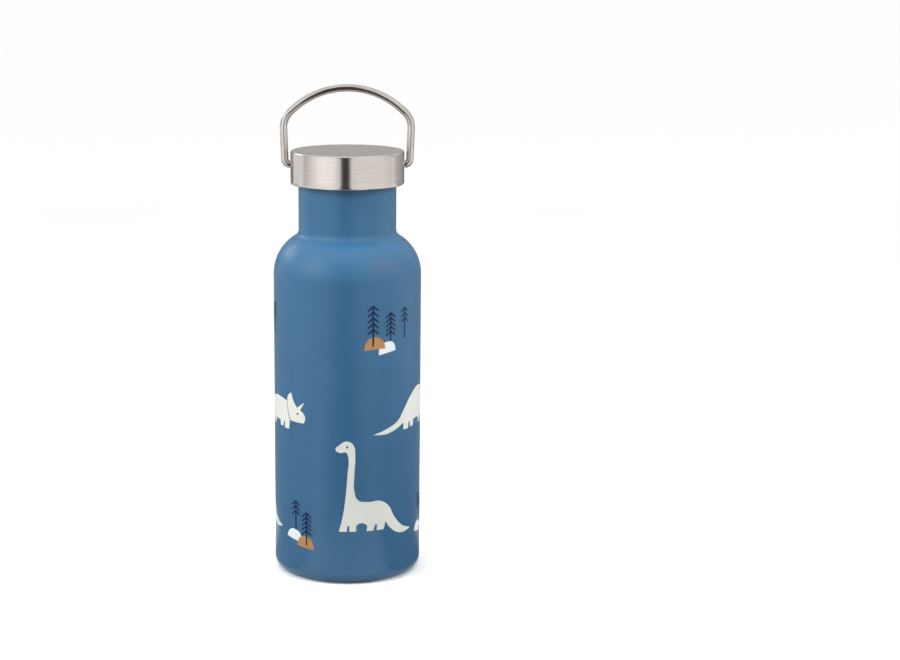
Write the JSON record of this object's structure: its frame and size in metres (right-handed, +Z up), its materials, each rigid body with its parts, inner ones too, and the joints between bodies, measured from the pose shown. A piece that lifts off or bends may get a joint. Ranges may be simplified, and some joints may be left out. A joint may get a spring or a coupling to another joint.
{
  "type": "insulated water bottle",
  "caption": "Double-walled vacuum bottle for children, with a painted steel body, a brushed steel screw lid with a threaded plug, and a wire carrying handle that swings over the lid.",
  "frame": {"origin": "centre of the foot ring, on the plane that the bottle stands on", "axes": "+Z up along the bottle's axis, +X along the axis of the handle's two pivots, front of the lid towards -Y"},
  "size_m": [0.07, 0.07, 0.2323],
  "materials": {
    "painted_steel": "satin powder coat",
    "bare_steel": "satin",
    "brushed_lid": "brushed round",
    "handle_wire": "fine satin",
    "white_plastic": "fine matte",
    "foam": "matte",
    "silicone": "matte",
    "seal_glass": "gloss",
    "getter_alloy": "matte"
  },
  "bodies": {
    "bottle": {"outer_shell": "painted_steel", "outer_base": "painted_steel", "base_plate": "bare_steel", "vacuum_seal": "seal_glass", "getter_pellet": "getter_alloy", "getter_clip": "bare_steel", "inner_liner": "bare_steel", "liner_base": "bare_steel"},
    "gasket": {"lid_gasket": "silicone"},
    "lid": {"lid_shell": "brushed_lid", "lid_core": "white_plastic", "lid_foam": "foam", "plug_cover": "white_plastic"},
    "handle": {"handle": "handle_wire"}
  },
  "joints": [
    {"name": "lid_rise", "type": "slide", "parent": "bottle", "child": "gasket", "axis": [0, 0, 1], "range_m": [0, 0.01401]},
    {"name": "lid_turn", "type": "hinge", "parent": "gasket", "child": "lid", "pos_m": [0, 0, 0.1909], "axis": [0, 0, 1], "range_deg": [0, 1260]},
    {"name": "handle_swing", "type": "hinge", "parent": "lid", "child": "handle", "pos_m": [0, 0, 0.19495], "axis": [1, 0, 0], "range_deg": [-134, 134]}
  ],
  "couplings": [
    {"joint": "lid_rise", "follows": "lid_turn", "m_per_rad": 0.00063662}
  ]
}
